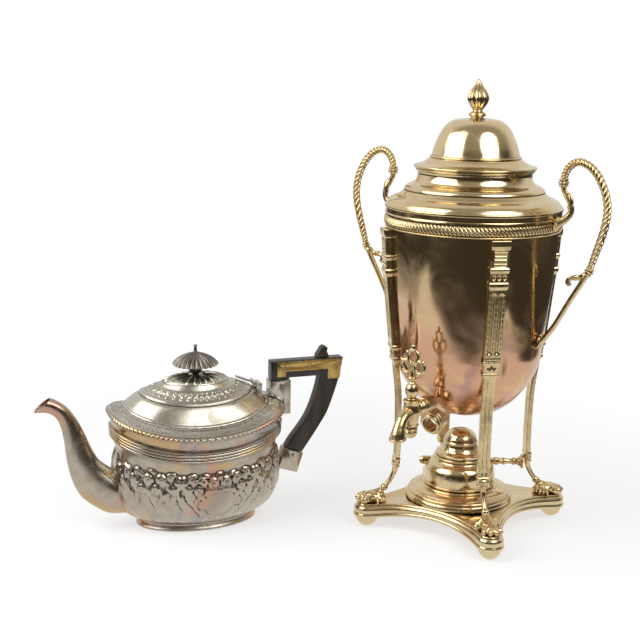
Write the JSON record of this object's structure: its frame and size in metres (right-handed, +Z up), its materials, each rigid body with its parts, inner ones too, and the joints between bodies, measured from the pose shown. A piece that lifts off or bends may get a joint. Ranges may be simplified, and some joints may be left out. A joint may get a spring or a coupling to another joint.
{
  "type": "tea urn with teapot",
  "caption": "Tall brass tea urn with tap, lift-off lid and spirit burner on a four-legged stand, with an oval silver plated teapot standing beside it.",
  "frame": {"origin": "middle of the set's plan, on the table it stands on", "axes": "+Z up, +X from the teapot to the urn, along the set's longest side, -Y towards the viewer"},
  "size_m": [0.5424, 0.2256, 0.4501],
  "materials": {
    "urn_brass": "polished, with a thin uneven tarnish",
    "cast_brass": "cast and polished, dark in the hollows",
    "aged_brass": "dull, aged",
    "handle_brass": "worn, dull",
    "silver_plate": "polished silver plate with warm tarnish",
    "tarnished_silver": "dark tarnished silver plate",
    "ebony": "polished black wood",
    "wick_cotton": "woven cotton"
  },
  "bodies": {
    "urn": {"urn_bowl": "urn_brass", "rope_border": "urn_brass", "base_plate": "urn_brass", "ball_foot_front_right": "urn_brass", "ball_foot_back_right": "urn_brass", "ball_foot_back_left": "urn_brass", "ball_foot_front_left": "urn_brass", "leg_front_right": "cast_brass", "leg_back_right": "cast_brass", "leg_back_left": "cast_brass", "leg_front_left": "cast_brass", "urn_handle_right": "cast_brass", "urn_handle_left": "cast_brass", "tap_barrel": "cast_brass", "tap_escutcheon": "cast_brass", "tap_back_flange": "aged_brass", "burner_stand": "urn_brass", "spirit_reservoir": "urn_brass", "spindle_gland": "cast_brass", "spindle_end_cap": "cast_brass", "wick_tube": "aged_brass", "burner_collar": "aged_brass", "burner_bolt": "aged_brass", "burner_nut": "aged_brass"},
    "urn_lid": {"urn_lid": "urn_brass", "urn_lid_finial": "urn_brass", "urn_lid_nut": "aged_brass"},
    "tap_turning_parts": {"tap_plug": "aged_brass", "tap_key": "cast_brass", "tap_washer": "aged_brass", "tap_nut": "cast_brass"},
    "snuffer": {"snuffer_cap": "urn_brass"},
    "spindle": {"wick_spindle": "cast_brass"},
    "wick_body": {"wick": "wick_cotton"},
    "teapot": {"teapot_body": "silver_plate", "teapot_foot_ring": "silver_plate", "teapot_shoulder": "silver_plate", "teapot_rim": "silver_plate", "teapot_spout": "silver_plate", "teapot_hinge_body_leaf": "silver_plate", "teapot_hinge_pin": "tarnished_silver", "ebony_grip": "ebony", "upper_socket": "silver_plate", "lower_socket": "silver_plate", "upper_socket_pin": "tarnished_silver", "lower_socket_pin": "tarnished_silver", "handle_brass_plate": "handle_brass", "plate_screw_1": "aged_brass", "plate_screw_2": "aged_brass", "plate_screw_3": "aged_brass", "thumb_rest": "ebony"},
    "teapot_lid_body": {"teapot_lid": "silver_plate", "teapot_finial_ball": "ebony", "teapot_finial": "tarnished_silver", "teapot_finial_nut": "tarnished_silver", "teapot_hinge_lid_leaf": "silver_plate"}
  },
  "joints": [
    {"name": "urn_lid_lift", "type": "slide", "parent": "urn", "child": "urn_lid", "axis": [0, 0, 1], "range_m": [0, 0.1]},
    {"name": "tap_turn", "type": "hinge", "parent": "urn", "child": "tap_turning_parts", "pos_m": [0.09272, -0.08879, 0.143], "axis": [0, 0, 1], "range_deg": [0, 90]},
    {"name": "wick_turn", "type": "hinge", "parent": "urn", "child": "spindle", "pos_m": [0.152, 0.0076, 0.0618], "axis": [-1, 0, 0], "range_deg": [0, 150]},
    {"name": "wick_raise", "type": "slide", "parent": "urn", "child": "wick_body", "axis": [0, 0, 1], "range_m": [0, 0.008]},
    {"name": "snuffer_lift", "type": "slide", "parent": "urn", "child": "snuffer", "axis": [0, 0, 1], "range_m": [0, 0.016]},
    {"name": "teapot_lift", "type": "slide", "parent": "urn", "child": "teapot", "axis": [0, 0, 1], "range_m": [0, 0.2]},
    {"name": "teapot_lid_hinge", "type": "hinge", "parent": "teapot", "child": "teapot_lid_body", "pos_m": [-0.06247, 0.01586, 0.1399], "axis": [-0.342, 0.9397, 0], "range_deg": [0, 92]}
  ],
  "couplings": [
    {"joint": "wick_raise", "follows": "wick_turn", "m_per_rad": 0.003}
  ]
}
